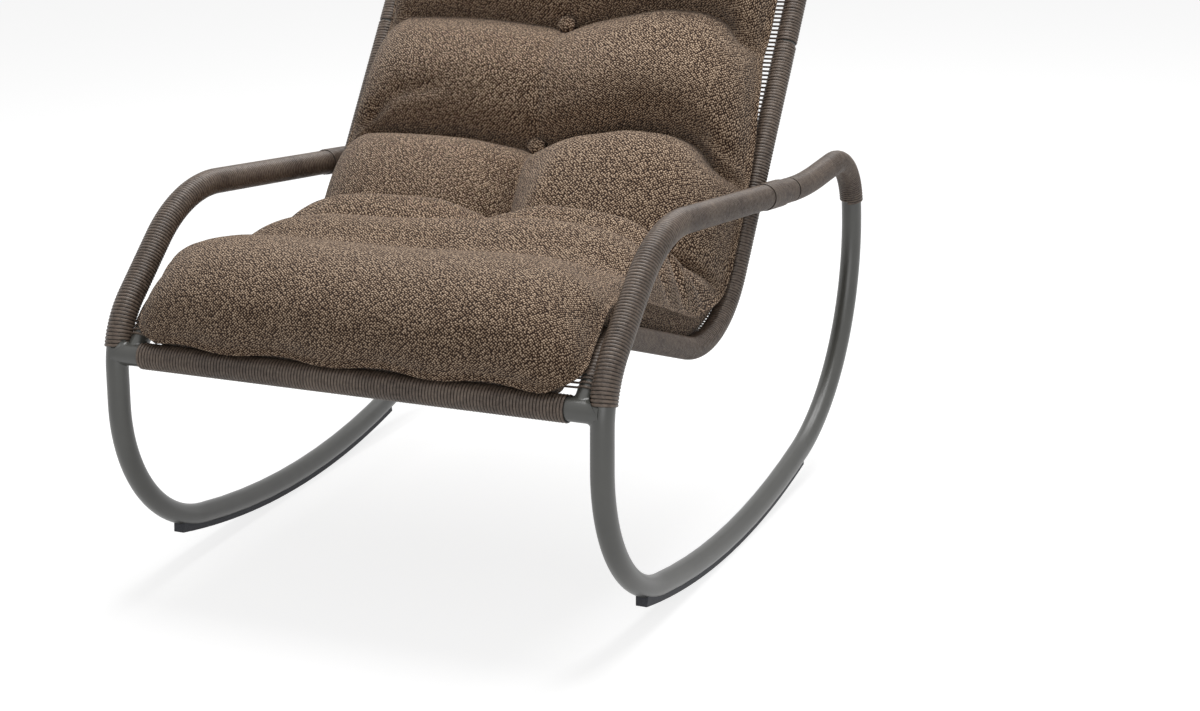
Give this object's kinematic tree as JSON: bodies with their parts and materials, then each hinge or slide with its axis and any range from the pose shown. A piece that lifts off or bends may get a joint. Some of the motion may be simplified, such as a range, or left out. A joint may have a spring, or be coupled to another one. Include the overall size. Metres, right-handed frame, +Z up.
{
  "type": "outdoor rocking chair",
  "caption": "Outdoor rocking chair: bent tube loop frame with curved runners, wound plastic strand, strung deck and a tufted seat-and-back cushion.",
  "frame": {"origin": "centre of the overall box at floor level, with the chair standing at rest on its runners", "axes": "+X to the chair's side seen in the picture (the sitter's left), -Y is the way the sitter faces, +Z up"},
  "size_m": [0.6952, 0.903, 0.7909],
  "materials": {
    "frame_paint": "satin anthracite powder coat on bent tube",
    "strand": "brown-grey round plastic strand, satin",
    "cushion_fabric": "coarse melange brown basket weave",
    "strip_rubber": "matt near-black",
    "inner_metal": "plain drawn sleeve",
    "screw_steel": "zinc plated"
  },
  "bodies": {
    "root": {"side_tube_right": "frame_paint", "side_tube_left": "frame_paint", "rear_bend_right": "frame_paint", "rear_bend_left": "frame_paint", "front_rail_tube": "frame_paint", "seat_back_rail_right": "frame_paint", "seat_back_rail_left": "frame_paint", "back_top_tube": "frame_paint", "arm_wrap_right": "strand", "arm_wrap_left": "strand", "rear_wrap_right": "strand", "rear_wrap_left": "strand", "front_rail_wrap": "strand", "rail_wrap_right": "strand", "rail_wrap_left": "strand", "top_wrap": "strand", "arm_bindings": "strand", "deck_rise": "strand", "deck_front_bend": "strand", "deck_seat": "strand", "deck_rear_bend": "strand", "deck_back": "strand", "cushion": "cushion_fabric", "tuft_buttons": "cushion_fabric", "runner_strip_right": "strip_rubber", "runner_strip_left": "strip_rubber", "arm_spigots": "inner_metal", "runner_spigots": "inner_metal", "top_spigots": "inner_metal", "strip_screws": "screw_steel"}
  },
  "joints": []
}
